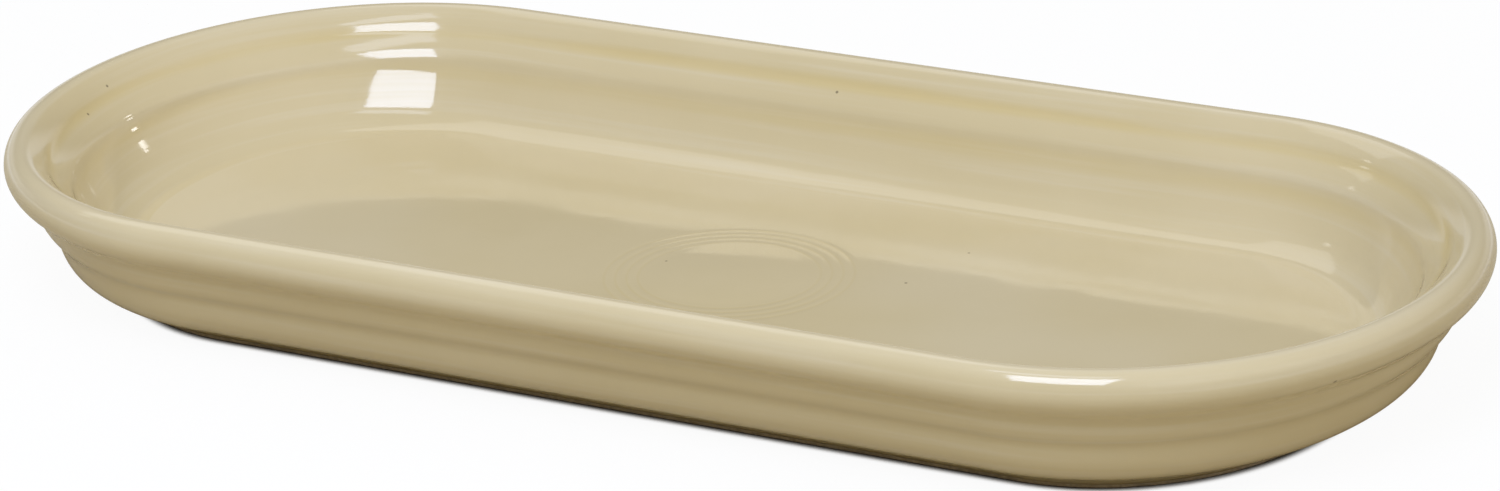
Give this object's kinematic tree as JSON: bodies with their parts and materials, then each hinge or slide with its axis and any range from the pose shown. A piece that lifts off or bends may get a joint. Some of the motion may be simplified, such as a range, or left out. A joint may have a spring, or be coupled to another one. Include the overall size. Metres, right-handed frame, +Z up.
{
  "type": "bread tray",
  "caption": "Long glazed bread tray with straight sides, round ends, a thick rolled rim, ribbed walls, pressed rings on its floor and a bare foot ring.",
  "frame": {"origin": "on the surface that the tray stands on, below the middle of the tray", "axes": "+X along the tray, +Y across it, +Z up"},
  "size_m": [0.3048, 0.146, 0.0305],
  "materials": {
    "bare_clay": "fired clay, unglazed, fine and dry",
    "glaze": "high-gloss ivory glaze, pooling a little yellower in the grooves"
  },
  "bodies": {
    "root": {"clay_body": "bare_clay", "glaze_coat": "glaze", "base_glaze": "glaze"}
  },
  "joints": []
}
